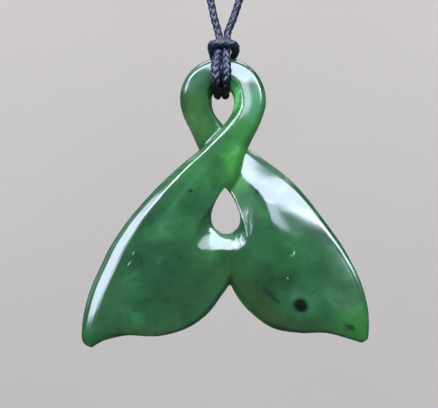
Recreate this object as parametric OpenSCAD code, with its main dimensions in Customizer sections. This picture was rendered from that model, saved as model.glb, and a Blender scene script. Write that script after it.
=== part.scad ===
// A whale tail pendant of greenstone, hitched to a neck cord that is joined by a knot.
// Sizes are in millimetres. The pendant's own zero is the top of its eye, in the middle of
// its thickness: x runs to the right, y away from the viewer and z up. The part's zero is
// the underside of the knot, where the cord hangs on the nape.

/* [Greenstone] */
// Width of the tail from tip to tip
tail_width = 55.5; // [53:0.5:62]
// Height from the top of the eye to the lower tip
tail_height = 55.9; // [48:0.1:62]
// Thickness of the stone where its two strands cross
tail_thickness = 7.6; // [6.8:0.1:8.4]

/* [Teardrop hole] */
// Width of the hole between the flukes
teardrop_width = 5.6; // [4.8:0.1:6]
// Height of that hole
teardrop_height = 9; // [8:0.1:9.6]
// How far the scoop reaches below the hole
scoop_drop = 4; // [3:0.1:4.4]

/* [Cord] */
// Diameter of the waxed cord
cord_diameter = 1.5; // [1.2:0.05:1.5]
// Number of wraps in the knot at the nape
knot_wraps = 6; // [4:1:8]

/* [Hidden] */

// The sizes that the tables below are drawn for, and how the stone is fitted to its own
drawn = [55.5, 7.6, 55.9];
fit = [tail_width / drawn[0], tail_thickness / drawn[1], tail_height / drawn[2]];

// The pendant hangs this far below the nape
pendant_drop = 292;

// Each limb of the stone is a band between two edges. Columns: x and z of the first edge,
// x and z of the second edge.
// This limb runs from the top of the eye down its right side, over the crossing and out
// into the left fluke. Its first edge is the eye's hole and then the fluke's outer side.
OVER_EDGES = [
    [0, -5.9, 0, 0],
    [1.2, -6.3, 3.1, -0.5],
    [1.95, -7.4, 6, -2.4],
    [2.1, -8.8, 7.8, -5.4],
    [1.95, -9.9, 8.3, -8.6],
    [1.4, -11.2, 7.7, -11.2],
    [0.4, -12.6, 6.7, -13.7],
    [-1.2, -14.5, 5.5, -16],
    [-3, -16.3, 4.4, -18.5],
    [-5, -18.2, 3.5, -21.2],
    [-7.6, -20.3, 2.6, -23.4],
    [-10.2, -22.6, 1.5, -25.4],
    [-13, -25.3, 0.5, -27.7],
    [-15.6, -28.1, 0.3, -30.4],
    [-18, -30.9, 1.8, -33.2],
    [-20.1, -33.8, 2.7, -36.4],
    [-22, -36.8, 2.7, -39.9],
    [-23.5, -39.9, 1.6, -43.1],
    [-24.9, -42.9, -0.3, -46],
    [-26, -45.8, -2.9, -49.4],
    [-26.8, -48.9, -6.9, -52.2],
    [-27.2, -51.6, -12.4, -53.7],
    [-27.3, -53.4, -18, -53.5],
    [-27.1, -54.7, -22.8, -54.5],
    [-26.5, -55.4, -25.3, -55.9],
];
// This limb runs down the left side of the eye, under the crossing and out into the right
// fluke. Its first edge is the eye's hole and then the fluke's outer side.
UNDER_EDGES = [
    [0, -5.9, 0, 0],
    [-1.3, -6.25, -3.1, -0.5],
    [-2.05, -7.3, -6.1, -2.4],
    [-2.15, -8.8, -7.9, -5.4],
    [-1.9, -10.1, -8.3, -8.4],
    [-1.2, -11.4, -7.6, -11.3],
    [-0.1, -12.7, -6.2, -14.2],
    [1.3, -14.3, -4.8, -17.3],
    [2.9, -16, -3.6, -19.8],
    [4.9, -17.6, -2.5, -22.3],
    [7.1, -19, -1.4, -24.5],
    [9.6, -20.8, -0.1, -26.3],
    [12.2, -22.8, 0.9, -28.3],
    [14.6, -25.1, 0.9, -30.5],
    [16.9, -27.8, -0.6, -33.2],
    [19.1, -30.7, -1.4, -36.3],
    [21.1, -33.4, -0.5, -39.8],
    [22.9, -36, 1.1, -43.1],
    [24.4, -38.6, 3, -46.6],
    [25.7, -41.1, 5.6, -49.5],
    [26.8, -43.7, 9.6, -52.2],
    [27.6, -46.4, 14.6, -53.1],
    [28.1, -49.2, 19.8, -53.1],
    [28.2, -52, 24.2, -54.2],
    [28, -54.2, 26.8, -55],
];

// Relief of each limb, a row for every third row of its edges. Along the first edge runs a
// bevel that ends in a crisp arris. Columns: depth of the two rims behind the stone's middle;
// how far the arris lies from the first edge, how high its bevel starts as a share of the
// face, and the width of the rim's rounding; width of the second edge's rounding and how
// round it is (1 is a flat bevel, 2 a quarter circle); the crest's place across the band;
// height of the face by the first edge, at the crest and by the second edge, first for the
// front face and then for the back.
EDGES_PER_RELIEF = 3;
OVER_RELIEF = [
    [0, 2.4, 0.45, 0.5, 0.9, 2, 0.42, 2.1, 2.35, 1.5, 2, 2.3, 1.8],
    [-0.4, 1.8, 0.3, 0.5, 0.9, 2, 0.3, 2.3, 2.45, 0.9, 1.7, 2.2, 1.7],
    [-1.3, 0.9, 0.4, 0.4, 1.5, 2, 0.3, 1.9, 2.3, 1.2, 1.5, 2, 1.5],
    [-1.6, 1, 0.5, 0.4, 1.8, 2, 0.45, 1.7, 2.2, 1.7, 1.5, 2.4, 1.8],
    [-0.7, 2, 0.55, 0.7, 1.8, 2, 0.5, 2.1, 2.5, 2.1, 1.2, 2.8, 2.1],
    [0, 2.6, 0.5, 1, 1, 2, 0.4, 2.5, 2.9, 2.2, 0.9, 3.05, 2.2],
    [0, 2.7, 0.47, 1.1, 1, 1.1, 0.4, 2.4, 2.8, 1.3, 0.9, 2.9, 1.3],
    [0, 2.2, 0.5, 1, 1, 1.1, 0.4, 1.9, 2.1, 1.2, 0.9, 2, 1.2],
    [0, 0.8, 0.8, 0.5, 0.5, 1.5, 0.5, 0.9, 1, 0.9, 0.8, 0.9, 0.8],
];
UNDER_RELIEF = [
    [0, 2.4, 0.45, 0.5, 0.9, 2, 0.42, 2.1, 2.35, 1.5, 2, 2.3, 1.8],
    [0.4, 0.9, 0.4, 0.6, 1, 2, 0.5, 1.9, 2.3, 2, 1.7, 2.2, 1.7],
    [1.3, 0.8, 0.5, 0.6, 1.7, 2, 0.5, 1.5, 2, 1.5, 1.6, 2.3, 1.6],
    [1.6, 0.8, 0.6, 0.6, 1.8, 2, 0.48, 0.9, 2.4, 1.9, 1.3, 2.2, 1.8],
    [0.6, 0.9, 0.75, 0.7, 1.8, 2, 0.5, 0.4, 3.1, 2.4, 2, 2.5, 2.1],
    [0.5, 0.9, 0.8, 0.7, 1, 2, 0.45, 0.7, 4, 2.7, 2.1, 2.35, 1.7],
    [0.2, 1.2, 0.8, 0.9, 1.5, 1.1, 0.45, 0.5, 2.5, 1.3, 2.2, 2.6, 1.2],
    [0, 1.2, 0.8, 0.9, 1, 1.1, 0.5, 0.45, 1.8, 1.1, 1.9, 2.1, 1.2],
    [0, 0.5, 0.8, 0.4, 0.5, 1.5, 0.5, 0.8, 0.9, 0.8, 0.9, 1, 0.9],
];
// How quickly the faces fall away from their crest
crown_power = 1.3;
// How round the rim of a first edge is
rim_roundness = 2;
// An edge's finish takes no more than this share of the band
widest_finish = 0.45;
// Sections made between two rows of the edges
sections_per_row = 2;
// Steps across a rim, across the flat of a face and across a second edge's rounding
rim_steps = 3;
face_steps = 5;
rounding_steps = 4;

// Tip of the teardrop hole and how far its round end leans to the right
teardrop_tip = [0.4, -24.85];
teardrop_lean = 0.2;
teardrop_points = 38;
// Widest half of the teardrop's outline when it is drawn one unit broad
teardrop_widest = 0.77;
// The scoop broadens by this much on each side, and leans to the left as seen from its face
scoop_broaden = 3;
scoop_lean = 1.7;
// The higher this is, the lower the scoop stays around the hole
scoop_low = 1.6;
// It starts at a lip inside the hole and reaches its full size at the face
scoop_lip = 0.6;
scoop_face = 2.55;
// Below 1 its wall rolls over into the face
scoop_curve = 0.55;
// The cutter goes on past the face in these steps, and ends well outside the stone
scoop_overshoot = 1.4;
scoop_steps = 7;
cutter_end = 4.6;

// The cord's route, by hand, in the part's own frame: x, y and z
// Left side, from the knot down to the hitch
LEFT_ROUTE = [
    [-15.5, 0, 0],
    [-25.4, 0, -3.6],
    [-34.4, 0, -8.9],
    [-42.4, 0, -15.6],
    [-49.1, 0, -23.6],
    [-54.4, 0, -32.6],
    [-58, 0, -42.5],
    [-59.8, 0, -52.8],
    [-59.8, 0, -63.2],
    [-58, 0, -73.5],
    [-44.6, 0, -123.5],
    [-31.2, 0, -173.5],
    [-17.8, 0, -223.5],
    [-7.9, -0.1, -262],
    [-4.3, -0.3, -274],
    [-2.4, -0.6, -281],
    [-1.6, -0.8, -284.7],
];
// The hitch, from the left side round the eye to the bight and back to the right side. The
// last column is how far the braid spreads there, as a share of its diameter.
HITCH_ROUTE = [
    [-0.85, -0.95, -287.4, 1],
    [-0.63, -1.7, -289.6, 0.9],
    [-1.15, -2.85, -292, 1.1],
    [-1.4, -3.52, -294.6, 1.34],
    [-1.27, -2.9, -297.5, 1.2],
    [-1.03, 0, -299.3, 0.95],
    [-1.25, 2.9, -297.4, 1.1],
    [-1.5, 3.4, -294.6, 1.15],
    [-1.75, 2.9, -292.3, 1],
    [-2.05, 1.3, -290.9, 0.86],
    [-2.13, -0.95, -290, 0.86],
    [-1.72, -2.95, -289.5, 0.88],
    [0.05, -3.35, -289.3, 0.95],
    [1.9, -2.95, -289.6, 0.88],
    [2.32, -0.95, -290.3, 0.86],
    [2.35, 1.3, -291, 0.9],
    [1.6, 2.9, -292.3, 1],
    [0.95, 3.4, -294.6, 1.15],
    [0.6, 2.9, -297.4, 1.1],
    [0.45, 0, -299.3, 0.95],
    [0.6, -2.9, -297.5, 1.2],
    [0.66, -3.52, -294.6, 1.34],
    [0.55, -2.85, -292, 1.1],
    [0.78, -1.7, -289.6, 0.9],
    [0.85, -0.95, -287.4, 1],
];
// Right side, from the hitch up to the knot
RIGHT_ROUTE = [
    [1.9, -0.8, -284.7],
    [3.1, -0.6, -281],
    [5.1, -0.3, -274],
    [8.2, -0.1, -262],
    [18, 0, -223.5],
    [31.3, 0, -173.5],
    [44.6, 0, -123.5],
    [58, 0, -73.5],
    [59.8, 0, -63.2],
    [59.8, 0, -52.8],
    [58, 0, -42.5],
    [54.4, 0, -32.6],
    [49.1, 0, -23.6],
    [42.4, 0, -15.6],
    [34.4, 0, -8.9],
    [25.4, 0, -3.6],
    [15.5, 0, 0],
];
// Rings along the whole hitch, and sides of each ring
hitch_rings = 49;
cord_sides = 8;
// How closely the hitch follows a stone that is thicker or higher than drawn
hitch_follow = 0.85;

// The knot is a barrel with rounded ends. Its sizes follow from the cord's diameter.
knot_radius = cord_diameter * 1.3;
knot_length = knot_wraps * cord_diameter;
knot_round = cord_diameter * 0.4;
// A corner cut at two thirds looks round
knot_corner = knot_round * 0.3;
knot_sides = 40;
knot_end = [knot_length / 2, 0, knot_radius];

// A smooth curve through four rows of a table, t from 0 to 1 between the middle two
function between(a, b, c, d, t) =
    0.5 * (2 * b + (c - a) * t + (2 * a - 5 * b + 4 * c - d) * t * t
        + (3 * b - a - 3 * c + d) * t * t * t);

// Row u of a table, where u may lie between two rows. Before is the row above the first.
function row_at(table, u, before) =
    let (last = len(table) - 1, i = min(floor(u), last - 1), above = i > 0 ? table[i - 1] : before)
    between(above, table[i], table[i + 1], table[min(i + 2, last)], u - i);

// Share of the full height at a distance from an edge, by its rounding and roundness
function edge_share(distance, width, roundness) =
    distance >= width ? 1
    : pow(1 - pow(1 - max(distance, 0) / width, roundness), 1 / roundness);

// Height of a face across the band, from its heights at both sides and at its crest
function face_height(share, crest, low, top, high) =
    share < crest
        ? top - (top - low) * pow((crest - share) / crest, crown_power)
        : top - (top - high) * pow((share - crest) / (1 - crest), crown_power);

// Distances from the first edge at which a section has a point
function stations(width, rim, first, second) = concat(
    [for (k = [0 : rim_steps]) rim * (1 - cos(90 * k / rim_steps))],
    [for (k = [0 : face_steps - 1]) first + (width - first - second) * k / face_steps],
    [for (k = [rounding_steps : -1 : 0]) width - second * (1 - cos(90 * k / rounding_steps))]
);

// One closed section of a limb: its front face and then its back face
function section(e, r) =
    let (
        start = [e[0] * fit[0], e[1] * fit[2]],
        run = [e[2] * fit[0], e[3] * fit[2]] - start,
        width = norm(run),
        first = min(r[1], widest_finish * width),
        rim = min(r[3], first - 0.1),
        second = min(r[4], widest_finish * width),
        places = stations(width, rim, first, second),
        last = len(places) - 1,
        point = function (s, side, low, top, high)
            let (
                bevel = r[2] + (1 - r[2]) * min(s / first, 1),
                share = bevel * edge_share(s, rim, rim_roundness) * edge_share(width - s, second, r[5]),
                height = share * face_height(s / width, r[6], low, top, high),
                at = start + run * s / width
            ) [at[0], (r[0] + side * height) * fit[1], at[1]]
    ) concat(
        [for (k = [0 : last]) point(places[k], -1, r[7], r[8], r[9])],
        [for (k = [last - 1 : -1 : 1]) point(places[k], 1, r[10], r[11], r[12])]
    );

// A solid through a row of closed sections that all have the same number of points
module loft(sections) {
    count = len(sections[0]);
    rows = len(sections);
    polyhedron(
        points = [for (s = sections) each s],
        faces = concat(
            [[for (k = [count - 1 : -1 : 0]) k]],
            [for (i = [0 : rows - 2], k = [0 : count - 1])
                each let (
                    a = i * count + k,
                    b = i * count + (k + 1) % count
                ) [[a, b, b + count], [a, b + count, a + count]]],
            [[for (k = [0 : count - 1]) (rows - 1) * count + k]]
        )
    );
}

// A limb through all of its rows. The other limb's rows continue it past the top of the
// eye, where both meet. One whose band runs right to left goes up its rows, so that its
// surface still faces outwards.
module limb(edges, relief, other_edges, other_relief, upwards) {
    last = (len(edges) - 1) * sections_per_row;
    rows = upwards ? [last : -1 : 0] : [0 : 1 : last];
    loft([for (k = rows)
        let (u = k / sections_per_row)
        section(
            row_at(edges, u, other_edges[1]),
            row_at(relief, u / EDGES_PER_RELIEF, other_relief[1])
        )]);
}

// One ring of the teardrop's cutter, for its share of the scoop, this deep from the middle.
// Side is -1 for the front and 1 for the back.
function teardrop_ring(share, side, depth) =
    [for (k = [0 : teardrop_points - 1])
        let (
            turn = 360 * k / teardrop_points,
            down = (1 - cos(turn)) / 2,
            grown = share * pow(down, scoop_low),
            bulge = sin(turn) * sin(turn / 2) / teardrop_widest
        ) [
            teardrop_tip[0] * fit[0] + bulge * (teardrop_width / 2 + scoop_broaden * grown)
                + teardrop_lean * down + side * scoop_lean * grown,
            side * depth * fit[1],
            teardrop_tip[1] * fit[2] - teardrop_height * down - scoop_drop * grown,
        ]];

// The hole and the scoops on both of its faces, as one solid to take away
module teardrop_cutter() {
    half = [
        for (k = [0 : scoop_steps])
            let (share = scoop_overshoot * pow(k / scoop_steps, 2))
            [share, scoop_lip + (scoop_face - scoop_lip) * pow(share, scoop_curve)],
        [scoop_overshoot, cutter_end],
    ];
    loft(concat(
        [for (k = [len(half) - 1 : -1 : 0]) teardrop_ring(half[k][0], 1, half[k][1])],
        [for (k = [0 : len(half) - 1]) teardrop_ring(half[k][0], -1, half[k][1])]
    ));
}

module whale_tail() {
    color([0.16, 0.45, 0.24])
        translate([0, 0, -pendant_drop])
            difference() {
                union() {
                    limb(OVER_EDGES, OVER_RELIEF, UNDER_EDGES, UNDER_RELIEF, false);
                    limb(UNDER_EDGES, UNDER_RELIEF, OVER_EDGES, OVER_RELIEF, true);
                }
                teardrop_cutter();
            }
}

// The hitch as a smooth curve through its rows, moved along with the stone's own sizes
hitch_last = len(HITCH_ROUTE) - 1;
hitch_rows = [
    for (k = [0 : hitch_rings - 1])
        row_at(HITCH_ROUTE, hitch_last * k / (hitch_rings - 1), HITCH_ROUTE[0])
];
follow = [0, fit[1] - 1, fit[2] - 1] * hitch_follow;
hitch_line = [
    for (row = hitch_rows)
        let (below = min(row[2] + pendant_drop, 0))
        [row[0], row[1] * (1 + follow[1]), row[2] + below * follow[2]]
];
// The whole cord as one line of points, and how far it spreads at each
mirrored_end = [-knot_end[0], knot_end[1], knot_end[2]];
cord_line = concat([mirrored_end], LEFT_ROUTE, hitch_line, RIGHT_ROUTE, [knot_end]);
hitch_from = len(LEFT_ROUTE) + 1;
hitch_to = hitch_from + len(hitch_line) - 1;
cord_last = len(cord_line) - 1;

function spread(i) = i < hitch_from || i > hitch_to ? 1 : hitch_rows[i - hitch_from][3];

function unit(v) = v / norm(v);

// Direction of the cord at each point; it leaves the knot along x
function heading(i) =
    i == 0 || i == cord_last ? [-1, 0, 0]
    : unit(cord_line[i + 1] - cord_line[i - 1]);

// A side direction for each ring, carried along the cord without twisting
function carried(i, side) =
    i > cord_last ? []
    : let (h = heading(i), s = unit(side - (side * h) * h)) concat([s], carried(i + 1, s));

side_ways = carried(0, [0, -1, 0]);

function cord_ring(i) =
    let (s = side_ways[i], t = cross(s, heading(i)), r = spread(i) * cord_diameter / 2)
    [for (k = [0 : cord_sides - 1])
        cord_line[i] + r * (cos(360 * k / cord_sides) * s + sin(360 * k / cord_sides) * t)];

module cord_between(from, to) {
    color([0.07, 0.07, 0.1])
        loft([for (i = [from : to]) cord_ring(i)]);
}

module cord_hitch() {
    cord_between(hitch_from, hitch_to);
}

module cord_left() {
    cord_between(0, hitch_from);
}

module cord_right() {
    cord_between(hitch_to, cord_last);
}

module neck_knot() {
    half = knot_length / 2;
    color([0.07, 0.07, 0.1])
        translate([0, 0, knot_radius])
            rotate([0, 90, 0])
                rotate_extrude($fn = knot_sides)
                    polygon([
                        [0, -half],
                        [knot_radius - knot_round, -half],
                        [knot_radius - knot_corner, -half + knot_corner],
                        [knot_radius, -half + knot_round],
                        [knot_radius, half - knot_round],
                        [knot_radius - knot_corner, half - knot_corner],
                        [knot_radius - knot_round, half],
                        [0, half],
                    ]);
}

whale_tail();
cord_hitch();
cord_left();
cord_right();
neck_knot();
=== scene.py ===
# %% [markdown]
# This lesson dresses a pendant in Blender: a whale tail cut from one pebble of greenstone and
# polished, hung on a loop of braided waxed cord. The solids were made and packed beforehand.
# They are loaded first and never moved, because every piece made here has to sit where they
# do. Everything is in metres, +Z is up, and the front of the stone faces -Y.

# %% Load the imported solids
import math

import bpy
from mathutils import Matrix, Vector
from mathutils.geometry import interpolate_bezier


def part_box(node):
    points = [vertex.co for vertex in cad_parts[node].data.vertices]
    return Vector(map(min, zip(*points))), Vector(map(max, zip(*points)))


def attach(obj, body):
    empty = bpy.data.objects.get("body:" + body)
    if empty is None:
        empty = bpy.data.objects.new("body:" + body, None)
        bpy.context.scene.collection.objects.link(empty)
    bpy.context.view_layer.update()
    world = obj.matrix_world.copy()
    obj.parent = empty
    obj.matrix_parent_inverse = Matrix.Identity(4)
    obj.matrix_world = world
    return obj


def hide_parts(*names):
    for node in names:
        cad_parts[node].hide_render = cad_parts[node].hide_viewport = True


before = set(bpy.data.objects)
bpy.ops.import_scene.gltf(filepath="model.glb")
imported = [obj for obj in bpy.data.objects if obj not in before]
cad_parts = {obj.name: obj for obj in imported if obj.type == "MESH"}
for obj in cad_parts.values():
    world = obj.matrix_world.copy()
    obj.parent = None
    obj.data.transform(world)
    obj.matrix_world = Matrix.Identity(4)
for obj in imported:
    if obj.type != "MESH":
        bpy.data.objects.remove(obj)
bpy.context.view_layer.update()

print("solids loaded:", ", ".join(sorted(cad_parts)))

# %% [markdown]
# Operators act on everything that is selected, and the solids arrive selected. So each step
# first deselects everything, and then picks its own piece. Small helpers do that, apply a
# modifier as one would by hand in the viewport, and describe a mesh in one line to print.

# %% Small helpers for picking and finishing a piece
MM = 0.001


def pick(*pieces):
    """Makes these pieces the only selected ones, and the first of them the active one."""
    bpy.ops.object.select_all(action="DESELECT")
    for piece in pieces:
        piece.select_set(True)
    bpy.context.view_layer.objects.active = pieces[0]


def finish_with(piece, kind, **settings):
    """Adds a modifier to a piece, sets it up and applies it."""
    pick(piece)
    modifier = piece.modifiers.new(kind.title(), kind)
    for name, value in settings.items():
        setattr(modifier, name, value)
    bpy.ops.object.modifier_apply(modifier=modifier.name)
    return piece


def count(piece):
    """A line about a piece's mesh, to print."""
    mesh = piece.data
    return f"{piece.name}: {len(mesh.vertices)} vertices, {len(mesh.polygons)} faces"


pick(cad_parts["whale_tail"])
bpy.ops.object.select_all(action="DESELECT")
print("selected now:", len(bpy.context.selected_objects))

# %% [markdown]
# The photograph looks straight at the pendant, which hangs upright. A long lens from close
# by gives the same flat view. The cord shows how large a pixel is: its strands are about
# 7.8 pixels wide and 1.5 mm thick. From that, the frame's width at the stone is known, and
# the lens follows from it and the camera's distance.

# %% Camera at the photograph's angle
PHOTO_WIDTH, PHOTO_HEIGHT = 438, 408
MM_PER_PIXEL = 0.193
EYE_TOP_PIXEL = (223, 58)
EYE_TOP = Vector((0, 0, -292 * MM))
VIEW_DISTANCE = 0.4
SENSOR_WIDTH = 36


def photo_point(column, row):
    """The place in the pendant's middle plane that a pixel of the photograph looks at."""
    across = (column - EYE_TOP_PIXEL[0]) * MM_PER_PIXEL * MM
    up = (EYE_TOP_PIXEL[1] - row) * MM_PER_PIXEL * MM
    return EYE_TOP + Vector((across, 0, up))


aim = photo_point(PHOTO_WIDTH / 2, PHOTO_HEIGHT / 2)
bpy.ops.object.camera_add(
    location=aim - Vector((0, VIEW_DISTANCE, 0)), rotation=(math.radians(90), 0, 0)
)
camera = bpy.context.object
camera.name = "photo_camera"
camera.data.sensor_width = SENSOR_WIDTH
camera.data.lens = SENSOR_WIDTH * VIEW_DISTANCE / (PHOTO_WIDTH * MM_PER_PIXEL * MM)
bpy.context.scene.camera = camera
print("lens:", round(camera.data.lens, 1), "mm, aimed at", [round(part, 4) for part in aim])

# %% [markdown]
# The studio is a pale floor that curves up into a wall all round, like a photographer's
# cove, so there is no corner or horizon behind the stone. It starts as a filled circle. Its
# rim is extruded outwards and upwards step by step along a quarter circle, and then straight
# up. It is wide enough for a camera to go round the whole necklace inside it, and its wall
# is high enough to stand behind the necklace from every side.

# %% Pale cove
FLOOR_HEIGHT = -1.3
FLOOR_RADIUS = 2.3
COVE_SIDES = 128
COVE_RADIUS = 0.6
COVE_STEPS = 12
COVE_CREASE = math.radians(40)
WALL_TOP = 2.2

bpy.ops.mesh.primitive_circle_add(
    vertices=COVE_SIDES, radius=FLOOR_RADIUS, fill_type="NGON", location=(0, 0, FLOOR_HEIGHT)
)
cove = bpy.context.object
cove.name = "pale_cove"
pick(cove)
bpy.ops.object.transform_apply(location=True, rotation=True, scale=True)
bpy.ops.object.mode_set(mode="EDIT")
bpy.ops.mesh.select_all(action="SELECT")
bpy.ops.mesh.region_to_loop()
reach, height = FLOOR_RADIUS, 0
for step in range(1, COVE_STEPS + 1):
    angle = math.radians(90 * step / COVE_STEPS)
    next_reach = FLOOR_RADIUS + COVE_RADIUS * math.sin(angle)
    next_height = COVE_RADIUS * (1 - math.cos(angle))
    bpy.ops.mesh.extrude_edges_move(
        TRANSFORM_OT_translate={"value": (0, 0, next_height - height)}
    )
    wider = next_reach / reach
    bpy.ops.transform.resize(value=(wider, wider, 1), center_override=(0, 0, 0))
    reach, height = next_reach, next_height
bpy.ops.mesh.extrude_edges_move(
    TRANSFORM_OT_translate={"value": (0, 0, WALL_TOP - FLOOR_HEIGHT - height)}
)
bpy.ops.mesh.select_all(action="SELECT")
bpy.ops.mesh.normals_make_consistent(inside=True)
bpy.ops.object.mode_set(mode="OBJECT")
bpy.ops.object.shade_smooth_by_angle(angle=COVE_CREASE)
print(count(cove), "and its box is", [round(size, 2) for size in cove.dimensions])

# %% [markdown]
# The light is soft, and a polished stone mirrors every lamp as a glint, so the place and the
# size of a softbox matter more here than its power. The front one is wide and hangs above.
# It draws the white patch on the right fluke, the line along the strand that crosses in
# front, and the glints on top of the eye and in the scoop. The left one, rolled by ten
# degrees, draws the long streak down the left fluke. The small side one lights the right
# wall of the teardrop hole. The low one draws the streak down the right of the eye and a
# soft one along the right fluke, and the right one carries that on towards the tip. The top
# one adds a faint sheen from above, the rim one a thin line along the outer edge of the left
# fluke, and the back one, which is warmer, lights the stone from behind.
# Columns: name, place, width and height, roll in degrees, watts, and tint.

# %% Soft studio light
SKY, CREAM = (0.73, 0.79, 1), (1, 0.97, 0.92)
SOFTBOXES = [
    ("front_softbox", (0.15, -0.85, 0.42), (2.4, 0.55), 2, 68, SKY),
    ("left_softbox", (-0.92, -0.8, 0.07), (0.74, 0.74), 10, 27, SKY),
    ("side_softbox", (-0.58, -1.14, -0.26), (0.31, 0.25), 0, 3.1, SKY),
    ("low_softbox", (0.47, -1.12, 0.12), (0.47, 0.42), 0, 5.8, SKY),
    ("right_softbox", (0.94, -0.73, 0.17), (0.33, 0.25), 0, 3.8, SKY),
    ("top_softbox", (0, -0.1, 0.9), (2.4, 1.4), 0, 11, SKY),
    ("rim_softbox", (-1.4, 0.4, 0.35), (1, 1), 0, 3.5, SKY),
    ("back_softbox", (0, 0.9, 1.1), (1.6, 0.8), 0, 25, CREAM),
]


def hang_softbox(name, at, size, roll, watts, tint, target=aim):
    """A rectangle of soft light that faces its target, rolled by some degrees."""
    bpy.ops.object.light_add(type="AREA", location=at)
    softbox = bpy.context.object
    softbox.name = name
    softbox.data.shape = "RECTANGLE"
    softbox.data.size, softbox.data.size_y = size
    softbox.data.energy = watts
    softbox.data.color = tint
    towards = Vector(target) - Vector(at)
    softbox.rotation_euler = towards.to_track_quat("-Z", "Y").to_euler()
    softbox.rotation_euler.rotate_axis("Z", math.radians(roll))
    softbox.visible_camera = False


for row in SOFTBOXES:
    hang_softbox(*row)
print("softboxes:", ", ".join(row[0] for row in SOFTBOXES))

# %% [markdown]
# Where these lamps don't reach, the wall would look dark from behind and from the sides. So
# four wide softboxes hang above the necklace, face outwards and light the wall all round. A
# wall that pale would lie as a grey veil on the polished bevels, so the cove is hidden from
# reflections, and the stone mirrors a faint, slightly blue world in its place. The same
# world fills the shadows.
# Columns of the wall lights: which way they face in x and y, and watts.

# %% Light on the wall, and the world
WALL_LIGHTS = {"back": (0, 1, 80), "fore": (0, -1, 60), "left": (-1, 0, 45), "right": (1, 0, 45)}
WALL_LIGHT_REACH, WALL_LIGHT_HEIGHT = 1.3, 1.2
WALL_LIGHT_SIZE = (3, 0.6)
LIT_REACH, LIT_HEIGHT = FLOOR_RADIUS + COVE_RADIUS, -0.3
WORLD_TINT, WORLD_STRENGTH = (0.86, 0.93, 1), 0.12

for side, (x, y, watts) in WALL_LIGHTS.items():
    at = (WALL_LIGHT_REACH * x, WALL_LIGHT_REACH * y, WALL_LIGHT_HEIGHT)
    lit = (LIT_REACH * x, LIT_REACH * y, LIT_HEIGHT)
    hang_softbox(side + "_wall_softbox", at, WALL_LIGHT_SIZE, 0, watts, CREAM, lit)
cove.visible_glossy = False

bpy.context.scene.view_settings.view_transform = "Standard"
world = bpy.data.worlds.new("pale_studio")
bpy.context.scene.world = world
world.use_nodes = True
background = world.node_tree.nodes["Background"]
background.inputs["Color"].default_value = (*WORLD_TINT, 1)
background.inputs["Strength"].default_value = WORLD_STRENGTH
print("the wall is lit from inside on", len(WALL_LIGHTS), "sides, in the world", world.name)

# %% [markdown]
# The stone is two limbs that cross. Each is a band between two edges, like a ribbon that
# twists: one limb runs from the top of the eye down its right side, over the crossing and
# out into the left fluke, and the other runs down the left side and under it. A carver
# thinks of it that way too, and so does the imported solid, so the same rows are used here.
# Sizes are in millimetres from the top of the eye: x is to the right and z is up.
# Columns: x and z of the first edge, x and z of the second edge.

# %% Edges of the two limbs
OVER_EDGES = [
    [0, -5.9, 0, 0],
    [1.2, -6.3, 3.1, -0.5],
    [1.95, -7.4, 6, -2.4],
    [2.1, -8.8, 7.8, -5.4],
    [1.95, -9.9, 8.3, -8.6],
    [1.4, -11.2, 7.7, -11.2],
    [0.4, -12.6, 6.7, -13.7],
    [-1.2, -14.5, 5.5, -16],
    [-3, -16.3, 4.4, -18.5],
    [-5, -18.2, 3.5, -21.2],
    [-7.6, -20.3, 2.6, -23.4],
    [-10.2, -22.6, 1.5, -25.4],
    [-13, -25.3, 0.5, -27.7],
    [-15.6, -28.1, 0.3, -30.4],
    [-18, -30.9, 1.8, -33.2],
    [-20.1, -33.8, 2.7, -36.4],
    [-22, -36.8, 2.7, -39.9],
    [-23.5, -39.9, 1.6, -43.1],
    [-24.9, -42.9, -0.3, -46],
    [-26, -45.8, -2.9, -49.4],
    [-26.8, -48.9, -6.9, -52.2],
    [-27.2, -51.6, -12.4, -53.7],
    [-27.3, -53.4, -18, -53.5],
    [-27.1, -54.7, -22.8, -54.5],
    [-26.5, -55.4, -25.3, -55.9],
]
UNDER_EDGES = [
    [0, -5.9, 0, 0],
    [-1.3, -6.25, -3.1, -0.5],
    [-2.05, -7.3, -6.1, -2.4],
    [-2.15, -8.8, -7.9, -5.4],
    [-1.9, -10.1, -8.3, -8.4],
    [-1.2, -11.4, -7.6, -11.3],
    [-0.1, -12.7, -6.2, -14.2],
    [1.3, -14.3, -4.8, -17.3],
    [2.9, -16, -3.6, -19.8],
    [4.9, -17.6, -2.5, -22.3],
    [7.1, -19, -1.4, -24.5],
    [9.6, -20.8, -0.1, -26.3],
    [12.2, -22.8, 0.9, -28.3],
    [14.6, -25.1, 0.9, -30.5],
    [16.9, -27.8, -0.6, -33.2],
    [19.1, -30.7, -1.4, -36.3],
    [21.1, -33.4, -0.5, -39.8],
    [22.9, -36, 1.1, -43.1],
    [24.4, -38.6, 3, -46.6],
    [25.7, -41.1, 5.6, -49.5],
    [26.8, -43.7, 9.6, -52.2],
    [27.6, -46.4, 14.6, -53.1],
    [28.1, -49.2, 19.8, -53.1],
    [28.2, -52, 24.2, -54.2],
    [28, -54.2, 26.8, -55],
]
print("rows of edges:", len(OVER_EDGES), "and", len(UNDER_EDGES))

# %% [markdown]
# The relief says how the band is ground at every third row. Along the first edge runs a
# bevel that ends in a crisp arris, the line that catches the light all the way from the eye
# into the left fluke. Columns: how deep both rims lie behind the stone's middle; where the
# arris lies, how high its bevel starts as a share of the face, and how wide the rim is
# rounded; the second edge's rounding and how round it is (1 is a flat bevel, 2 a quarter
# circle); where the crest lies across the band; and the height of the face by the first
# edge, at the crest and by the second edge, first in front and then at the back.

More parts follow.
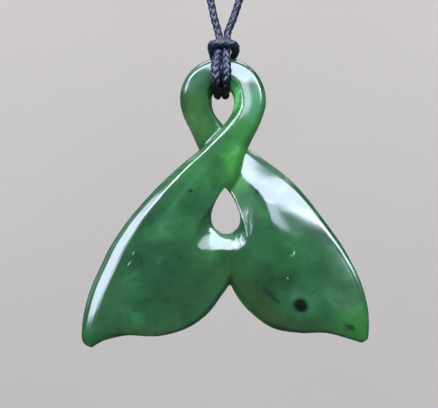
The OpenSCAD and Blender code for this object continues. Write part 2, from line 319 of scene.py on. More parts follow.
# %% Relief of the two limbs
EDGES_PER_RELIEF = 3
OVER_RELIEF = [
    [0, 2.4, 0.45, 0.5, 0.9, 2, 0.42, 2.1, 2.35, 1.5, 2, 2.3, 1.8],
    [-0.4, 1.8, 0.3, 0.5, 0.9, 2, 0.3, 2.3, 2.45, 0.9, 1.7, 2.2, 1.7],
    [-1.3, 0.9, 0.4, 0.4, 1.5, 2, 0.3, 1.9, 2.3, 1.2, 1.5, 2, 1.5],
    [-1.6, 1, 0.5, 0.4, 1.8, 2, 0.45, 1.7, 2.2, 1.7, 1.5, 2.4, 1.8],
    [-0.7, 2, 0.55, 0.7, 1.8, 2, 0.5, 2.1, 2.5, 2.1, 1.2, 2.8, 2.1],
    [0, 2.6, 0.5, 1, 1, 2, 0.4, 2.5, 2.9, 2.2, 0.9, 3.05, 2.2],
    [0, 2.7, 0.47, 1.1, 1, 1.1, 0.4, 2.4, 2.8, 1.3, 0.9, 2.9, 1.3],
    [0, 2.2, 0.5, 1, 1, 1.1, 0.4, 1.9, 2.1, 1.2, 0.9, 2, 1.2],
    [0, 0.8, 0.8, 0.5, 0.5, 1.5, 0.5, 0.9, 1, 0.9, 0.8, 0.9, 0.8],
]
UNDER_RELIEF = [
    [0, 2.4, 0.45, 0.5, 0.9, 2, 0.42, 2.1, 2.35, 1.5, 2, 2.3, 1.8],
    [0.4, 0.9, 0.4, 0.6, 1, 2, 0.5, 1.9, 2.3, 2, 1.7, 2.2, 1.7],
    [1.3, 0.8, 0.5, 0.6, 1.7, 2, 0.5, 1.5, 2, 1.5, 1.6, 2.3, 1.6],
    [1.6, 0.8, 0.6, 0.6, 1.8, 2, 0.48, 0.9, 2.4, 1.9, 1.3, 2.2, 1.8],
    [0.6, 0.9, 0.75, 0.7, 1.8, 2, 0.5, 0.4, 3.1, 2.4, 2, 2.5, 2.1],
    [0.5, 0.9, 0.8, 0.7, 1, 2, 0.45, 0.7, 4, 2.7, 2.1, 2.35, 1.7],
    [0.2, 1.2, 0.8, 0.9, 1.5, 1.1, 0.45, 0.5, 2.5, 1.3, 2.2, 2.6, 1.2],
    [0, 1.2, 0.8, 0.9, 1, 1.1, 0.5, 0.45, 1.8, 1.1, 1.9, 2.1, 1.2],
    [0, 0.5, 0.8, 0.4, 0.5, 1.5, 0.5, 0.8, 0.9, 0.8, 0.9, 1, 0.9],
]
print("rows of relief:", len(OVER_RELIEF), "and", len(UNDER_RELIEF))

# %% [markdown]
# A polished stone shows every flat spot in its reflections, so the rows are joined by a
# smooth curve, and many sections are cut between them. A section is one closed line round
# the band: across its front from the first edge to the second, and back again behind. The
# points crowd together in the roundings, where the surface turns fastest.

# %% Sections of a limb
CROWN_POWER = 1.3
ROUNDING_SHARE = 0.3
WIDEST_ROUNDING = 0.45
RIM_ROUNDNESS = 2


def smooth_value(share, before, start, end, after):
    """A value between start and end, on a curve that runs smoothly on from both neighbours."""
    bend = 2 * before - 5 * start + 4 * end - after
    twist = 3 * start - before - 3 * end + after
    return (2 * start + (end - before) * share + bend * share**2 + twist * share**3) / 2


def row_at(table, place, above_first):
    """The row at a place between two rows of a table, with the row above the first given."""
    last = len(table) - 1
    number = min(int(place), last - 1)
    before = table[number - 1] if number > 0 else above_first
    start, end, after = table[number], table[number + 1], table[min(number + 2, last)]
    share = place - number
    return [smooth_value(share, *values) for values in zip(before, start, end, after)]


def distance_across(share, width, first, second):
    """How far from the first edge a point lies, for its share of the way across."""
    if share < ROUNDING_SHARE:
        return first * (1 - math.cos(math.pi / 2 * share / ROUNDING_SHARE))
    if share > 1 - ROUNDING_SHARE:
        return width - second * (1 - math.cos(math.pi / 2 * (1 - share) / ROUNDING_SHARE))
    flat = (share - ROUNDING_SHARE) / (1 - 2 * ROUNDING_SHARE)
    return first + (width - first - second) * flat


def edge_share(distance, width, roundness):
    """Share of the full height at a distance from an edge that is rounded over a width."""
    if distance >= width:
        return 1
    return (1 - (1 - max(distance, 0) / width) ** roundness) ** (1 / roundness)


def face_height(share, crest, low, top, high):
    """Height of a face across the band, from its heights at both sides and at its crest."""
    if share < crest:
        return top - (top - low) * ((crest - share) / crest) ** CROWN_POWER
    return top - (top - high) * ((share - crest) / (1 - crest)) ** CROWN_POWER


def section(edges, relief, points):
    """One closed section of a limb as points in metres, from its rows of edges and relief."""
    first_x, first_z, second_x, second_z = edges
    middle, first, bevel, rim, second, second_round, crest, *heights = relief
    width = math.hypot(second_x - first_x, second_z - first_z)
    first, second = min(first, WIDEST_ROUNDING * width), min(second, WIDEST_ROUNDING * width)
    rim = min(rim, first)
    line = []
    for step in range(points + 1):
        turn = 2 * step / points
        side, share = (-1, turn) if turn <= 1 else (1, 2 - turn)
        distance = distance_across(share, width, first, second)
        full = edge_share(distance, rim, RIM_ROUNDNESS)
        full *= bevel + (1 - bevel) * min(distance / first, 1)
        full *= edge_share(width - distance, second, second_round)
        across = distance / width
        height = full * face_height(across, crest, *(heights[:3] if side < 0 else heights[3:]))
        x = first_x + (second_x - first_x) * across
        z = first_z + (second_z - first_z) * across
        line.append(EYE_TOP + Vector((x, middle + side * height, z)) * MM)
    return line


print("a section halfway down:", len(section(OVER_EDGES[12], OVER_RELIEF[4], 100)), "points")

# %% [markdown]
# A grid is rolled into each limb. Its columns go round a section and its rows go along the
# limb. Rolled up, its two long sides meet, so they are merged, and the two open ends are
# filled. That gives a closed skin which a boolean can work with.

# %% Two closed limbs
POINTS_ROUND = 104
SECTIONS_PER_ROW = 10
SEAM = 0.0001 * MM


def close_skin(piece):
    """Merges the seam of a rolled grid, fills its ends and turns its faces outwards."""
    pick(piece)
    bpy.ops.object.mode_set(mode="EDIT")
    bpy.ops.mesh.select_all(action="SELECT")
    bpy.ops.mesh.remove_doubles(threshold=SEAM)
    bpy.ops.mesh.select_all(action="DESELECT")
    bpy.ops.mesh.select_mode(type="EDGE")
    bpy.ops.mesh.select_non_manifold()
    bpy.ops.mesh.fill_holes(sides=0)
    bpy.ops.mesh.select_all(action="SELECT")
    bpy.ops.mesh.normals_make_consistent(inside=False)
    bpy.ops.object.mode_set(mode="OBJECT")
    return piece


def rolled_grid(name, lines):
    """A grid whose rows take the shape of these lines, which are all equally long lists."""
    rows, columns = len(lines) - 1, len(lines[0]) - 1
    bpy.ops.mesh.primitive_grid_add(x_subdivisions=columns, y_subdivisions=rows, size=1)
    piece = bpy.context.object
    piece.name = name
    for vertex in piece.data.vertices:
        row = round((vertex.co.y + 0.5) * rows)
        column = round((vertex.co.x + 0.5) * columns)
        vertex.co = lines[row][column]
    return close_skin(piece)


def limb(name, edges, relief, other_edges, other_relief):
    """A limb. The other limb's rows continue it past the top of the eye, where both meet."""
    lines = []
    for step in range((len(edges) - 1) * SECTIONS_PER_ROW + 1):
        place = step / SECTIONS_PER_ROW
        edge_row = row_at(edges, place, other_edges[1])
        relief_row = row_at(relief, place / EDGES_PER_RELIEF, other_relief[1])
        lines.append(section(edge_row, relief_row, POINTS_ROUND))
    return rolled_grid(name, lines)


over_limb = limb("over_limb", OVER_EDGES, OVER_RELIEF, UNDER_EDGES, UNDER_RELIEF)
under_limb = limb("under_limb", UNDER_EDGES, UNDER_RELIEF, OVER_EDGES, OVER_RELIEF)
print(count(over_limb))
print(count(under_limb))

# %% [markdown]
# The teardrop hole is drilled and filed through, and its lower half is scooped out like a
# spoon on both faces. One cutter does both: a stack of teardrops, smallest inside the stone
# and growing towards each face, all with the same pointed tip. As they grow, their lower
# part drops, broadens and leans. The cutter's two ends lie well outside the stone, so that
# the boolean never has to cut along a face that almost touches another.

# %% Cutter for the teardrop hole
TEARDROP_TIP = (0.4, -24.85)
TEARDROP_WIDTH, TEARDROP_HEIGHT = 5.6, 9
TEARDROP_WIDEST = 0.77
TEARDROP_LEAN = 0.2
TEARDROP_POINTS = 160
SCOOP_DROP, SCOOP_BROADEN, SCOOP_LEAN, SCOOP_LOW = 4, 3, 1.7, 1.6
SCOOP_LIP, SCOOP_FACE, SCOOP_CURVE = 0.6, 2.55, 0.55
SCOOP_OVERSHOOT, SCOOP_STEPS, CUTTER_END = 1.4, 24, 4.6


def teardrop(share, side, depth):
    """One ring of the cutter, for its share of the scoop's reach. Side is -1 in front."""
    tip_x, tip_z = TEARDROP_TIP
    ring = []
    for step in range(TEARDROP_POINTS + 1):
        turn = 2 * math.pi * step / TEARDROP_POINTS
        down = (1 - math.cos(turn)) / 2
        grown = share * down**SCOOP_LOW
        bulge = math.sin(turn) * math.sin(turn / 2) / TEARDROP_WIDEST
        across = bulge * (TEARDROP_WIDTH / 2 + SCOOP_BROADEN * grown)
        across += TEARDROP_LEAN * down + side * SCOOP_LEAN * grown
        drop = TEARDROP_HEIGHT * down + SCOOP_DROP * grown
        place = Vector((tip_x + across, side * depth, tip_z - drop))
        ring.append(EYE_TOP + place * MM)
    return ring


shares = [SCOOP_OVERSHOOT * (step / SCOOP_STEPS) ** 2 for step in range(SCOOP_STEPS + 1)]
depths = [SCOOP_LIP + (SCOOP_FACE - SCOOP_LIP) * share**SCOOP_CURVE for share in shares]
half = [*zip(shares, depths), (SCOOP_OVERSHOOT, CUTTER_END)]
rings = [teardrop(share, 1, depth) for share, depth in reversed(half)]
rings += [teardrop(share, -1, depth) for share, depth in half]
cutter = rolled_grid("teardrop_cutter", rings)
print(count(cutter))

# %% [markdown]
# The limbs are fused and the cutter is taken away with booleans, which leave a knife-sharp
# crease where two surfaces meet. Hand polishing rounds such creases. So the result is laid
# over with an even skin of small voxels, the skin is shrunk back onto the exact shape, and a
# few rounds of smoothing then soften it by a few tenths of a millimetre and no more.

# %% Fuse, pierce and polish the stone
VOXEL = 0.24 * MM
POLISH_ROUNDS, POLISH_SHARE = 3, 0.5
STONE_CREASE = math.radians(60)

whale_tail = finish_with(over_limb, "BOOLEAN", object=under_limb, operation="UNION", solver="EXACT")
finish_with(whale_tail, "BOOLEAN", object=cutter, operation="DIFFERENCE", solver="EXACT")
whale_tail.name = "polished_whale_tail"
print(count(whale_tail))
pick(whale_tail)
bpy.ops.object.duplicate()
exact_shape = bpy.context.object
finish_with(whale_tail, "REMESH", mode="VOXEL", voxel_size=VOXEL)
finish_with(whale_tail, "SHRINKWRAP", target=exact_shape, wrap_method="NEAREST_SURFACEPOINT")
finish_with(whale_tail, "SMOOTH", factor=POLISH_SHARE, iterations=POLISH_ROUNDS)
pick(whale_tail)
bpy.ops.object.shade_smooth_by_angle(angle=STONE_CREASE)
pick(exact_shape, under_limb, cutter)
bpy.ops.object.delete()
print(count(whale_tail))

# %% [markdown]
# The cord is one length of braided waxed thread. It leaves the knot at the nape straight,
# comes down the left of the neck, is hitched through the eye and goes back up the right. Its
# line is a smooth curve through listed points, the same ones as the imported solids follow,
# in millimetres from the nape: x, y and z. In the hitch a fourth column says how full the
# cord is drawn, where 1 is its own thickness. Waxed thread spreads where it is pulled tight,
# and the hitch is drawn a little fuller than the solids, so that its strands press together
# as on the real one. For both sides of the neck one number is enough.

# %% Route of the cord
LEFT_ROUTE = [
    [-15.5, 0, 0],
    [-25.4, 0, -3.6],
    [-34.4, 0, -8.9],
    [-42.4, 0, -15.6],
    [-49.1, 0, -23.6],
    [-54.4, 0, -32.6],
    [-58, 0, -42.5],
    [-59.8, 0, -52.8],
    [-59.8, 0, -63.2],
    [-58, 0, -73.5],
    [-44.6, 0, -123.5],
    [-31.2, 0, -173.5],
    [-17.8, 0, -223.5],
    [-7.9, -0.1, -262],
    [-4.3, -0.3, -274],
    [-2.4, -0.6, -281],
    [-1.6, -0.8, -284.7],
]
HITCH_ROUTE = [
    [-0.85, -0.95, -287.4, 1.05],
    [-0.63, -1.7, -289.6, 1.1],
    [-1.15, -2.85, -292, 1.22],
    [-1.4, -3.52, -294.6, 1.42],
    [-1.27, -2.9, -297.5, 1.32],
    [-1.03, 0, -299.3, 1.05],
    [-1.25, 2.9, -297.4, 1.1],
    [-1.5, 3.4, -294.6, 1.15],
    [-1.75, 2.9, -292.3, 1],
    [-2.05, 1.3, -290.9, 1.05],
    [-2.13, -0.95, -290, 1.2],
    [-1.72, -2.95, -289.5, 1.2],
    [0.05, -3.35, -289.3, 1.25],
    [1.9, -2.95, -289.6, 1.2],
    [2.32, -0.95, -290.3, 1.2],
    [2.35, 1.3, -291, 1.05],
    [1.6, 2.9, -292.3, 1],
    [0.95, 3.4, -294.6, 1.15],
    [0.6, 2.9, -297.4, 1.1],
    [0.45, 0, -299.3, 1.05],
    [0.6, -2.9, -297.5, 1.32],
    [0.66, -3.52, -294.6, 1.42],
    [0.55, -2.85, -292, 1.22],
    [0.78, -1.7, -289.6, 1.1],
    [0.85, -0.95, -287.4, 1.05],
]
RIGHT_ROUTE = [
    [1.9, -0.8, -284.7],
    [3.1, -0.6, -281],
    [5.1, -0.3, -274],
    [8.2, -0.1, -262],
    [18, 0, -223.5],
    [31.3, 0, -173.5],
    [44.6, 0, -123.5],
    [58, 0, -73.5],
    [59.8, 0, -63.2],
    [59.8, 0, -52.8],
    [58, 0, -42.5],
    [54.4, 0, -32.6],
    [49.1, 0, -23.6],
    [42.4, 0, -15.6],
    [34.4, 0, -8.9],
    [25.4, 0, -3.6],
    [15.5, 0, 0],
]
CORD_DIAMETER = 1.5
NECK_SPREAD = 1.05
STRAIGHT_OUT = Vector((3.6 * MM, 0, 0))
knot_low, knot_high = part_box("neck_knot")
knot_middle = (knot_low + knot_high) / 2
knot_reach = (knot_high.x - knot_low.x) / 2
knot_left, knot_right = (knot_middle + Vector((side * knot_reach, 0, 0)) for side in (-1, 1))


def route_curve(name, points):
    """A curve with smooth handles through points in metres."""
    data = bpy.data.curves.new(name, "CURVE")
    data.dimensions = "3D"
    spline = data.splines.new("BEZIER")
    spline.bezier_points.add(len(points) - 1)
    for bezier, point in zip(spline.bezier_points, points):
        bezier.co = point
        bezier.handle_left_type = bezier.handle_right_type = "AUTO"
    curve = bpy.data.objects.new(name, data)
    bpy.context.collection.objects.link(curve)
    return curve


def lengths_along(curve, steps=24):
    """Distance from the start of a curve to each of its points."""
    points = curve.data.splines[0].bezier_points
    lengths = [0]
    for start, end in zip(points, points[1:]):
        line = interpolate_bezier(start.co, start.handle_right, end.handle_left, end.co, steps)
        length = sum((there - here).length for here, there in zip(line, line[1:]))
        lengths.append(lengths[-1] + length)
    return lengths


by_hand = [Vector(row[:3]) * MM for row in LEFT_ROUTE + HITCH_ROUTE + RIGHT_ROUTE]
cord_curve = route_curve("cord_route", [knot_left, *by_hand, knot_right])
spreads = [NECK_SPREAD] * (len(LEFT_ROUTE) + 1)
spreads += [spread for x, y, z, spread in HITCH_ROUTE]
spreads += [NECK_SPREAD] * (len(RIGHT_ROUTE) + 1)
cord_points = cord_curve.data.splines[0].bezier_points
for bezier, spread in zip(cord_points, spreads):
    bezier.radius = spread
bpy.context.view_layer.update()
for bezier, side in ((cord_points[0], -1), (cord_points[-1], 1)):
    bezier.handle_left_type = bezier.handle_right_type = "FREE"
    bezier.handle_right = bezier.co + side * STRAIGHT_OUT
    bezier.handle_left = bezier.co + side * STRAIGHT_OUT
cord_lengths = lengths_along(cord_curve)
cord_length = cord_lengths[-1]
hitch_start = cord_lengths[len(LEFT_ROUTE) + 1]
hitch_end = cord_lengths[len(LEFT_ROUTE) + len(HITCH_ROUTE)]
print("cord:", round(cord_length, 4), "m long")
print("hitched from", round(hitch_start, 4), "to", round(hitch_end, 4))

# %% [markdown]
# Round braid is made of eight strands. Four wind one way round and four the other way, and
# each passes over two and under two. One half turn of that pattern is enough: after it, each
# strand stands where another one began, so copies set end to end run on without a seam.
# Every strand is a small grid rolled into a flat tube along its own winding path.

# %% One half turn of the braid
BRAID_PITCH = 5.4
STRAND_SIDES, STRAND_STEPS = 6, 8
STRAND_WIDE, STRAND_THICK = 0.7, 0.42
BRAID_DIP = 0.09
strand_radius = (CORD_DIAMETER - STRAND_THICK) / 2 - BRAID_DIP
half_pitch = BRAID_PITCH / 2


def strand_place(along, winding, number):
    """Where a strand runs in a straight braid, in millimetres, and its angle round it."""
    angle = winding * 2 * math.pi * along / BRAID_PITCH + number * math.pi / 2
    wave = math.cos(4 * math.pi * along / BRAID_PITCH + winding * math.pi / 4)
    out = strand_radius + winding * (-1) ** number * BRAID_DIP * wave
    return Vector((along, out * math.cos(angle), out * math.sin(angle))), angle


def strand(winding, number):
    """One flat strand of the braid over half a turn."""
    bpy.ops.mesh.primitive_grid_add(x_subdivisions=STRAND_SIDES, y_subdivisions=STRAND_STEPS, size=1)
    piece = bpy.context.object
    lean = winding * math.atan2(2 * math.pi * strand_radius, BRAID_PITCH)
    for vertex in piece.data.vertices:
        middle, angle = strand_place((vertex.co.y + 0.5) * half_pitch, winding, number)
        outwards = Vector((0, math.cos(angle), math.sin(angle)))
        round_it = Vector((0, -math.sin(angle), math.cos(angle)))
        sideways = round_it * math.cos(lean) - Vector((1, 0, 0)) * math.sin(lean)
        turn = -2 * math.pi * (vertex.co.x + 0.5)
        wide, thick = STRAND_WIDE / 2 * math.cos(turn), STRAND_THICK / 2 * math.sin(turn)
        vertex.co = (middle + wide * sideways + thick * outwards) * MM
    return piece


strands = [strand(winding, number) for winding in (1, -1) for number in range(4)]
pick(*strands)
bpy.ops.object.join()
braid_unit = bpy.context.object
braid_unit.name = "braid_half_turn"
bpy.ops.object.mode_set(mode="EDIT")
bpy.ops.mesh.select_all(action="SELECT")
bpy.ops.mesh.remove_doubles(threshold=SEAM)
bpy.ops.mesh.normals_make_consistent(inside=False)
bpy.ops.object.mode_set(mode="OBJECT")
print(count(braid_unit), "and its box in mm:", [round(size / MM, 2) for size in braid_unit.dimensions])

# %% [markdown]
# An array lays half turns end to end, and a curve modifier bends the straight braid along
# the route. The three pieces of cord share one curve and start where the last one stopped,
# so the pattern runs on from piece to piece. Only the ends of each piece are capped.

# %% Braid laid along a curve
BRAID_CREASE = math.radians(80)
JOINT_SEAM = 10 * SEAM


def braid(name, curve, start, end):
    """Braided cord along a curve, from one distance along it to another, in metres."""
    units = round((end - start) / (half_pitch * MM))
    stretch = (end - start) / (units * half_pitch * MM)
    pick(braid_unit)
    bpy.ops.object.duplicate()
    piece = bpy.context.object
    piece.name = name
    finish_with(
        piece, "ARRAY", count=units, use_relative_offset=False, use_constant_offset=True,
        constant_offset_displace=(half_pitch * MM, 0, 0), use_merge_vertices=True,
        merge_threshold=JOINT_SEAM,
    )
    bpy.ops.object.mode_set(mode="EDIT")
    bpy.ops.mesh.select_all(action="DESELECT")
    bpy.ops.mesh.select_mode(type="EDGE")
    bpy.ops.mesh.select_non_manifold()
    bpy.ops.mesh.fill_holes(sides=STRAND_SIDES)
    bpy.ops.mesh.select_all(action="SELECT")
    bpy.ops.transform.resize(value=(stretch, 1, 1), center_override=(0, 0, 0))
    bpy.ops.transform.translate(value=(start, 0, 0))
    bpy.ops.object.mode_set(mode="OBJECT")
    finish_with(piece, "CURVE", object=curve, deform_axis="POS_X")
    pick(piece)
    bpy.ops.object.shade_smooth_by_angle(angle=BRAID_CREASE)
    print(count(piece), "in", units, "half turns, stretched by", round(stretch, 3))
    return piece


cord_left = braid("braided_cord_left", cord_curve, 0, hitch_start)
cord_hitch = braid("braided_hitch", cord_curve, hitch_start, hitch_end)
cord_right = braid("braided_cord_right", cord_curve, hitch_end, cord_length)

# %% [markdown]
# The two ends are joined at the nape by a barrel knot: the cord is wound tightly round
# itself. It is the same braid laid along a helix from one end of the knot to the other, with
# one straight length through its middle for the strand that it grips.

# %% Wound knot at the nape
WRAPS = 5
WRAP_POINTS = 12
knot_radius = (knot_high.z - knot_low.z) / 2
wrap_radius = knot_radius - CORD_DIAMETER / 2 * MM
wrap_reach = knot_reach - CORD_DIAMETER / 2 * MM


def wrap_point(step):
    """A point on the winding, a helix from the left end of the knot to its right end."""
    share = step / (WRAPS * WRAP_POINTS)
    turn = 2 * math.pi * step / WRAP_POINTS
    along = (2 * share - 1) * wrap_reach
    across, up = -wrap_radius * math.sin(turn), wrap_radius * math.cos(turn)
    return knot_middle + Vector((along, across, up))


winding_line = [wrap_point(step) for step in range(WRAPS * WRAP_POINTS + 1)]
knot_curve = route_curve("knot_route", winding_line)
bpy.context.view_layer.update()
winding = braid("knot_winding", knot_curve, 0, lengths_along(knot_curve)[-1])
core_curve = route_curve("knot_core_route", [knot_left, knot_middle, knot_right])
bpy.context.view_layer.update()
core = braid("knot_core", core_curve, 0, 2 * knot_reach)
pick(winding, core)
bpy.ops.object.join()
wound_knot = bpy.context.object
wound_knot.name = "wound_knot"
pick(braid_unit, cord_curve, knot_curve, core_curve)
bpy.ops.object.delete()
print(count(wound_knot))

# %% [markdown]
# Materials are made of nodes, with no image, so they look the same from close by. They read
# Object coordinates, which are metres here. Scaled to millimetres and counted from the top
# of the eye, they let a patch of colour be placed with the same numbers as the shape. The
# mixing node has several sockets of the same name, so they are told apart by their numbers:
# it mixes plain values in sockets 2 and 3 and colours in 6 and 7.

# %% Helpers for materials
MIX_SHARE, VALUE_BELOW, VALUE_ABOVE = 0, 2, 3
COLOUR_BELOW, COLOUR_ABOVE, MIXED_COLOUR = 6, 7, 2


def new_material(name):
    """A node material, with its tree and its shader."""
    material = bpy.data.materials.new(name)
    material.use_nodes = True
    return material, material.node_tree, material.node_tree.nodes["Principled BSDF"]


def node(tree, kind, inputs, output=0, **settings):
    """Adds a node, sets it up, feeds its inputs and hands back one of its outputs."""
    made = tree.nodes.new("ShaderNode" + kind)
    for name, value in settings.items():
        setattr(made, name, value)
    for name, value in inputs.items():
        if isinstance(value, bpy.types.NodeSocket):
            tree.links.new(value, made.inputs[name])
        else:
            made.inputs[name].default_value = value
    return made.outputs[output]


def mixed(tree, share, below, above):
    """A colour over another, by a share from 0 to 1."""
    inputs = {MIX_SHARE: share}
    for socket, colour in ((COLOUR_BELOW, below), (COLOUR_ABOVE, above)):
        inputs[socket] = colour if isinstance(colour, bpy.types.NodeSocket) else (*colour, 1)
    return node(tree, "Mix", inputs, output=MIXED_COLOUR, data_type="RGBA")


def rising(tree, value, low, high, top=1.0):
    """A smooth rise from 0 to top while the value goes from low to high."""
    inputs = {"Value": value, "From Min": low, "From Max": high, "To Min": 0.0, "To Max": top}
    return node(tree, "MapRange", inputs, interpolation_type="SMOOTHSTEP")


def bumped(tree, height, strength, distance, under=None):
    """A bump from a height map, over another bump if there is one. Distance in metres."""
    inputs = {"Height": height, "Strength": strength, "Distance": distance}
    if under is not None:
        inputs["Normal"] = under
    return node(tree, "Bump", inputs)


def set_finish(shader, **sockets):
    """Sets sockets of the shader by their names, with spaces written as underscores."""
    for name, value in sockets.items():
        title = name.replace("_", " ").title().replace("Ior", "IOR")
        shader.inputs[title].default_value = value


def wear(piece, material):
    """The piece wears this material and nothing else."""
    piece.data.materials.clear()
    piece.data.materials.append(material)


print("material helpers are ready")

# %% [markdown]
# The cove is painted a slightly warm grey, which its lights make pale. Real paint is never
# quite even, so a broad faint noise shifts its tone a little and a fine one roughens it.

# %% Paint of the cove
paint, tree, shader = new_material("pale_paint")
metres = node(tree, "TexCoord", {}, output="Object")
broad = node(tree, "TexNoise", {"Vector": metres, "Scale": 1.5, "Detail": 3.0})
tone = mixed(tree, broad, (0.26, 0.25, 0.24), (0.32, 0.31, 0.3))
tree.links.new(tone, shader.inputs["Base Color"])
grain = node(tree, "TexNoise", {"Vector": metres, "Scale": 180.0})
tree.links.new(bumped(tree, grain, 0.1, 0.5 * MM), shader.inputs["Normal"])
set_finish(shader, roughness=0.9)
wear(cove, paint)
print("painted:", cove.name)

# %% [markdown]
# Greenstone is a felt of fine fibres, so light goes a little way in and comes out green. Its
# colour drifts in soft clouds. First comes a broad mottling between a deep and a mid green,
# from one noise, with the coordinates pushed about by another so that nothing looks round:
# its middle value is taken off, and the rest moves a point by up to half the drift each way.

# %% Body colour of the greenstone
DRIFT = 6
NOISE_MIDDLE = 0.5

greenstone, tree, shader = new_material("polished_greenstone")
metres = node(tree, "TexCoord", {}, output="Object")
in_mm = node(tree, "Mapping", {"Vector": metres, "Location": -EYE_TOP / MM, "Scale": (1 / MM,) * 3})
drift = node(tree, "TexNoise", {"Vector": in_mm, "Scale": 0.3, "Detail": 3.0}, output="Color")
drift = node(tree, "VectorMath", {0: drift, 1: (NOISE_MIDDLE,) * 3}, operation="SUBTRACT")
drifted = node(tree, "VectorMath", {0: drift, 1: (DRIFT,) * 3, 2: in_mm}, operation="MULTIPLY_ADD")
mottle = node(tree, "TexNoise", {"Vector": drifted, "Scale": 0.16, "Detail": 5.0, "Roughness": 0.6})
body = mixed(tree, rising(tree, mottle, 0.3, 0.7), (0.006, 0.032, 0.011), (0.011, 0.054, 0.016))
print("body colour is mixed")

# %% [markdown]
# The clouds that the eye remembers are placed one by one: olive in the left of the eye and
# along the lower bevels, and a deep green in the middle of both flukes. With them is painted
# glow: a brighter green painted where light shines through the crossing, the inside of the
# eye and the right tip. Each is a soft patch of colour that goes right through the stone, so
# the back shows it too, and the same drift that bends the mottling bends its rim.
# Columns: x and z of the middle, reach in x and in z, colour, and strength.

# %% Clouds in the stone, and painted glow
CLOUDS_AND_GLOW = [
    # Rows that brighten the crossing, the inside of the eye and the right tip are painted glow.
    (2.5, -15, 7, 8, (0.015, 0.078, 0.016), 0.9),
    (6.2, -9, 3.4, 6, (0.024, 0.105, 0.036), 0.8),
    (1.9, -7.5, 2.3, 4.4, (0.08, 0.29, 0.09), 0.95),
    (2.6, -21.5, 4, 6, (0.024, 0.115, 0.018), 0.8),
    (-5.6, -11.5, 3.6, 7, (0.027, 0.075, 0.017), 0.8),
    (-5.4, -3.5, 3.6, 4, (0.02, 0.06, 0.032), 0.7),
    (-4, -22, 6, 6, (0.013, 0.07, 0.016), 0.7),
    (-12.5, -40, 13, 9, (0.006, 0.03, 0.011), 0.8),
    (-12, -34, 8, 2.6, (0.01, 0.05, 0.015), 0.6),
    (-23, -47, 5, 8, (0.013, 0.038, 0.015), 0.6),
    (-8, -46.5, 9, 7, (0.008, 0.024, 0.009), 0.75),
    (-1, -37.5, 6, 3, (0.01, 0.05, 0.012), 0.7),
    (9, -43.5, 7, 7, (0.006, 0.023, 0.008), 0.85),
    (12, -37, 9, 7, (0.01, 0.052, 0.015), 0.7),
    (23, -44, 5, 5, (0.009, 0.042, 0.011), 0.6),
    (25.8, -51.5, 6, 5, (0.011, 0.06, 0.01), 0.9),
    (0.5, -42, 7, 5, (0.011, 0.034, 0.008), 0.6),
    (-14, -53.5, 16, 3, (0.012, 0.026, 0.008), 0.6),
    (13, -53, 12, 3.4, (0.01, 0.02, 0.006), 0.7),
]
PATCH_CORE = 0.7
THROUGH = 60


def placed(tree, vector, x, z, reach_x, reach_z, lean=0):
    """1 at a place in the stone, falling to 0 at its reach, leant to the right by degrees."""
    inputs = {
        "Vector": vector, "Location": (x, 0, z), "Rotation": (0, math.radians(lean), 0),
        "Scale": (reach_x, THROUGH, reach_z),
    }
    moved = node(tree, "Mapping", inputs, vector_type="TEXTURE")
    return node(tree, "TexGradient", {"Vector": moved}, output="Fac", gradient_type="SPHERICAL")


for x, z, reach_x, reach_z, colour, strength in CLOUDS_AND_GLOW:
    soft_patch = placed(tree, drifted, x, z, reach_x, reach_z)
    body = mixed(tree, rising(tree, soft_patch, 0.0, PATCH_CORE, strength), body, colour)
print("clouds placed:", len(CLOUDS_AND_GLOW))

# %% [markdown]
# Over the clouds lie wisps: one noise makes the colour brighter where it is high and darker
# where it is low. A finer noise adds a thin grit of dark grains.

# %% Wisps and grit in the stone
wisps = node(tree, "TexNoise", {"Vector": drifted, "Scale": 0.24, "Detail": 4.0, "Roughness": 0.5})
lighter = node(tree, "HueSaturation", {"Color": body, "Value": 1.7, "Saturation": 0.9})
body = mixed(tree, rising(tree, wisps, 0.5, 0.75, 0.6), body, lighter)
darker = node(tree, "HueSaturation", {"Color": body, "Value": 0.62})
body = mixed(tree, rising(tree, wisps, 0.5, 0.24, 0.7), body, darker)
grit = node(tree, "TexNoise", {"Vector": in_mm, "Scale": 1.3, "Detail": 4.0})
body = mixed(tree, rising(tree, grit, 0.67, 0.75, 0.35), body, (0.003, 0.011, 0.006))
print("wisps and grit are mixed in")

# %% [markdown]
# Spots come last and keep a clean rim, so they aren't bent by the drift. They are an olive
# patch in the right fluke, one small black inclusion in a paler halo, a few dark smudges and a
# pale vein that runs from the crossing down into the left fluke. The short bright flecks at
# the end of the table are painted glints, small highlights painted into the colour.
# Columns: x and z of the middle, reach in x and in z, lean to the right in degrees, colour,
# and strength.

# %% Spots in the stone, and painted glints
SPOTS = [
    (7.6, -47.6, 9, 2.8, 46, (0.011, 0.023, 0.006), 0.75),
    (15.4, -47.1, 3.2, 2.9, 20, (0.022, 0.07, 0.042), 0.3),
    (14.9, -47.7, 2.2, 1.9, 30, (0.001, 0.002, 0.001), 1),
    (6.6, -25.6, 0.8, 1, 0, (0.002, 0.012, 0.008), 0.7),
    (9, -45.5, 2.2, 0.7, 44, (0.002, 0.009, 0.006), 0.6),
    (10.6, -47, 0.8, 0.5, 44, (0.002, 0.008, 0.005), 0.6),
    (24.4, -51.9, 1.4, 0.8, 20, (0.003, 0.012, 0.007), 0.8),
    (-6.3, -25.6, 0.9, 0.5, 0, (0.002, 0.014, 0.01), 0.8),
    (-16.5, -39.2, 3.4, 2, -40, (0.003, 0.017, 0.009), 0.4),
    (-6.5, -24.5, 0.8, 10, 38, (0.02, 0.08, 0.03), 0.4),
    # The last five rows are painted glints.
    (-18, -39.6, 0.14, 0.8, 35, (0.12, 0.22, 0.17), 0.9),
    (-17.2, -37.6, 0.14, 0.45, 20, (0.12, 0.22, 0.17), 0.8),
    (13.6, -37.6, 0.2, 0.6, 15, (0.16, 0.3, 0.2), 0.9),
    (13.1, -38.1, 0.15, 0.35, -20, (0.12, 0.25, 0.15), 0.8),
    (12.4, -42.4, 0.25, 0.25, 0, (0.1, 0.22, 0.13), 0.7),
]
SPOT_CORE = 0.6

